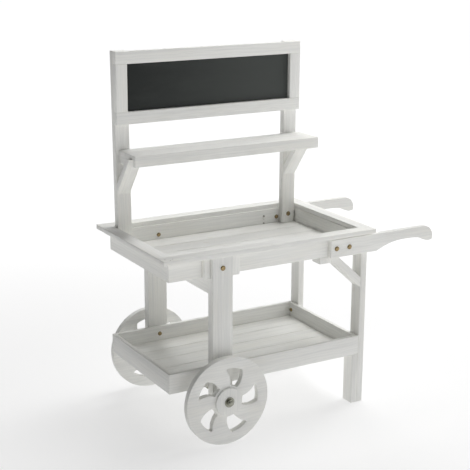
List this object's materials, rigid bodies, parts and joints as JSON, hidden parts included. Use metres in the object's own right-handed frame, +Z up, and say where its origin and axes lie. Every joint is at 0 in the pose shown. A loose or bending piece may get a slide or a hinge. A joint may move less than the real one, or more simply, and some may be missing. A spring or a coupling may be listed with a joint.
{
  "type": "push vending cart",
  "caption": "White painted wooden display cart with two planked trays, side wheels, push handles, a shelf and a chalkboard sign on posts.",
  "frame": {"origin": "on the floor, under the middle of the overall box", "axes": "+Z up, +X towards the push handles, -Y the front long side with the customer, wheels at the -X end"},
  "size_m": [0.949, 0.5632, 1.1],
  "materials": {
    "white_paint": "satin white paint brushed over planed softwood",
    "wheel_paint": "satin white paint on cut board",
    "slate": "matt chalkboard paint",
    "brassy_zinc": "yellow zinc plate, satin",
    "bright_zinc": "zinc plated steel"
  },
  "bodies": {
    "cart": {"axle": "bright_zinc", "axle_nuts": "bright_zinc", "axle_spacers": "bright_zinc", "axle_washers": "bright_zinc", "board_frame_bottom": "white_paint", "board_frame_left": "white_paint", "board_frame_right": "white_paint", "board_frame_top": "white_paint", "bolt_cap_nuts": "brassy_zinc", "bolts": "brassy_zinc", "brace_blocks": "white_paint", "cross_rail": "white_paint", "foot_block_front": "white_paint", "foot_block_rear": "white_paint", "handle_front": "white_paint", "handle_rear": "white_paint", "leg_brace_front": "white_paint", "leg_brace_rear": "white_paint", "leg_cleats_front": "white_paint", "leg_cleats_rear": "white_paint", "leg_front_left": "white_paint", "leg_front_right": "white_paint", "leg_rear_left": "white_paint", "leg_rear_right": "white_paint", "lower_tray_board_back": "white_paint", "lower_tray_board_front": "white_paint", "lower_tray_board_left": "white_paint", "lower_tray_board_right": "white_paint", "lower_tray_floor_plank_1": "white_paint", "lower_tray_floor_plank_2": "white_paint", "lower_tray_floor_plank_3": "white_paint", "lower_tray_floor_plank_4": "white_paint", "lower_tray_floor_plank_5": "white_paint", "post_left": "white_paint", "post_right": "white_paint", "rim_back": "white_paint", "rim_front": "white_paint", "rim_left": "white_paint", "rim_right": "white_paint", "shelf_brace_left": "white_paint", "shelf_brace_right": "white_paint", "shelf_fascia": "white_paint", "shelf_plank_back": "white_paint", "shelf_plank_front": "white_paint", "shelf_rails": "white_paint", "slate_panel": "slate", "upper_tray_board_back": "white_paint", "upper_tray_board_front": "white_paint", "upper_tray_board_left": "white_paint", "upper_tray_board_right": "white_paint", "upper_tray_floor_plank_1": "white_paint", "upper_tray_floor_plank_2": "white_paint", "upper_tray_floor_plank_3": "white_paint", "upper_tray_floor_plank_4": "white_paint", "upper_tray_floor_plank_5": "white_paint"},
    "front_wheel": {"wheel_front": "wheel_paint", "hub_disc_front": "wheel_paint"},
    "rear_wheel": {"wheel_rear": "wheel_paint", "hub_disc_rear": "wheel_paint"}
  },
  "joints": [
    {"name": "front_wheel_spin", "type": "hinge", "parent": "cart", "child": "front_wheel", "pos_m": [-0.2895, -0.25, 0.1335], "axis": [0, 1, 0], "continuous": true},
    {"name": "rear_wheel_spin", "type": "hinge", "parent": "cart", "child": "rear_wheel", "pos_m": [-0.2895, 0.25, 0.1335], "axis": [0, 1, 0], "continuous": true}
  ]
}
